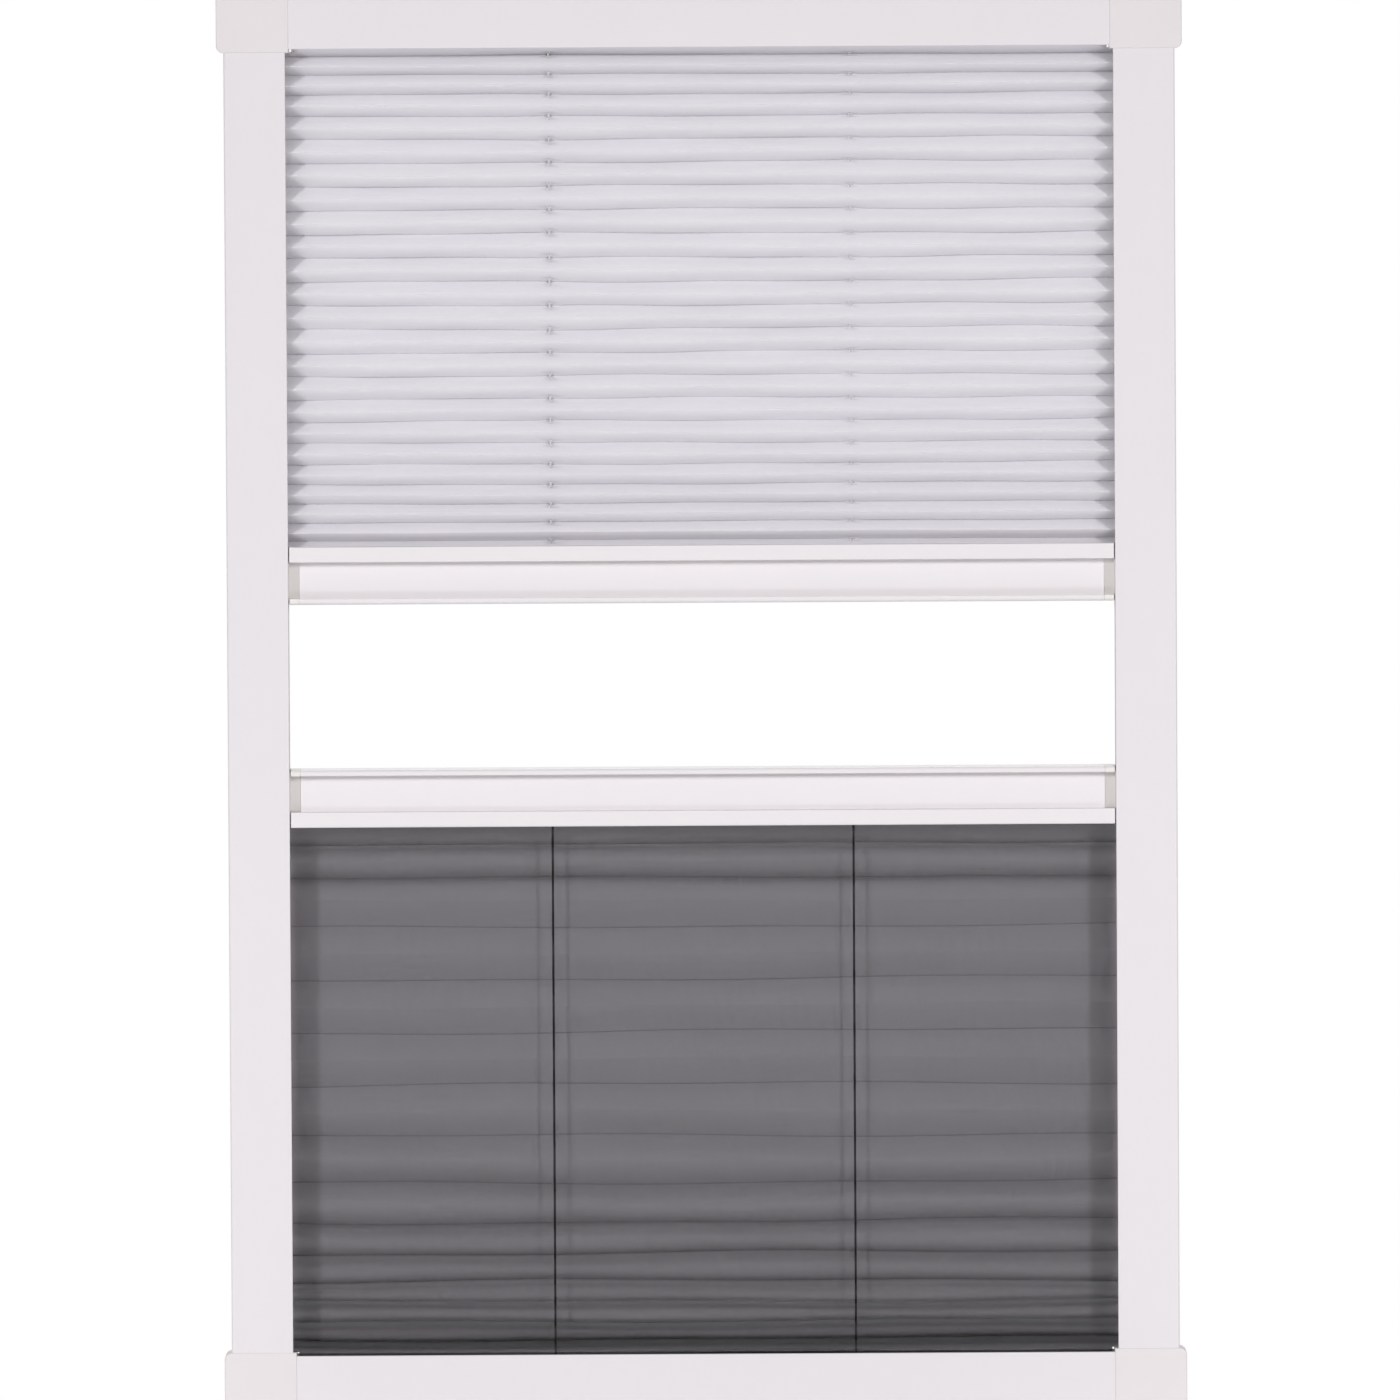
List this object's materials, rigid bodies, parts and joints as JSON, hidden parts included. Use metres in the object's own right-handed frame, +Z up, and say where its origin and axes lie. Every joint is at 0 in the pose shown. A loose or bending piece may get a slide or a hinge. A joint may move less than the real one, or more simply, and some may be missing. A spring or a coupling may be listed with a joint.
{
  "type": "pleated insect screen",
  "caption": "Framed window screen with a pleated sun blind above and a pleated insect mesh below, each ending in a handle rail that slides in the frame.",
  "frame": {"origin": "under the middle of the frame, level with the lower faces of the bottom corner pieces", "axes": "+X to the right as seen from the room, +Y away from the room towards the window, +Z up"},
  "size_m": [0.8, 0.033, 1.2],
  "materials": {
    "frame_coat": "white powder coat on extruded aluminium, satin",
    "handle_coat": "white powder coat on extruded aluminium, satin",
    "corner_plastic": "white moulded plastic, fine grain",
    "cap_plastic": "light grey moulded plastic",
    "strip_plastic": "white plastic, matt",
    "brush_pile": "light grey woven pile",
    "blind_cloth": "white pleated polyester, faint cool cast",
    "mesh_cloth": "black pleated polyester mesh",
    "white_cord": "white braided cord",
    "black_cord": "black braided cord"
  },
  "bodies": {
    "frame": {"top_rail": "frame_coat", "bottom_rail": "frame_coat", "left_side_rail": "frame_coat", "right_side_rail": "frame_coat", "top_left_corner": "corner_plastic", "top_right_corner": "corner_plastic", "bottom_left_corner": "corner_plastic", "bottom_right_corner": "corner_plastic", "left_brush_seals": "brush_pile", "right_brush_seals": "brush_pile", "blind_top_strip": "strip_plastic", "mesh_bottom_strip": "strip_plastic", "blind_left_cord_anchor": "strip_plastic", "blind_right_cord_anchor": "strip_plastic", "mesh_left_cord_anchor": "strip_plastic", "mesh_right_cord_anchor": "strip_plastic", "blind_fabric": "blind_cloth", "insect_mesh": "mesh_cloth", "blind_cords": "white_cord", "blind_side_cords": "white_cord", "mesh_cords": "black_cord", "mesh_side_cords": "black_cord"},
    "blind_handle": {"blind_handle_rail": "handle_coat", "blind_handle_left_cap": "cap_plastic", "blind_handle_right_cap": "cap_plastic", "blind_bottom_strip": "strip_plastic", "blind_handle_cords": "white_cord"},
    "mesh_handle": {"mesh_handle_rail": "handle_coat", "mesh_handle_left_cap": "cap_plastic", "mesh_handle_right_cap": "cap_plastic", "mesh_top_strip": "strip_plastic", "mesh_handle_cords": "black_cord"}
  },
  "joints": [
    {"name": "blind_handle_slide", "type": "slide", "parent": "frame", "child": "blind_handle", "axis": [0, 0, 1], "range_m": [-0.068, 0.388], "deforming": ["blind_fabric", "blind_cords", "blind_side_cords"]},
    {"name": "mesh_handle_slide", "type": "slide", "parent": "frame", "child": "mesh_handle", "axis": [0, 0, 1], "range_m": [-0.415, 0.068], "deforming": ["insect_mesh", "mesh_cords", "mesh_side_cords"]}
  ]
}
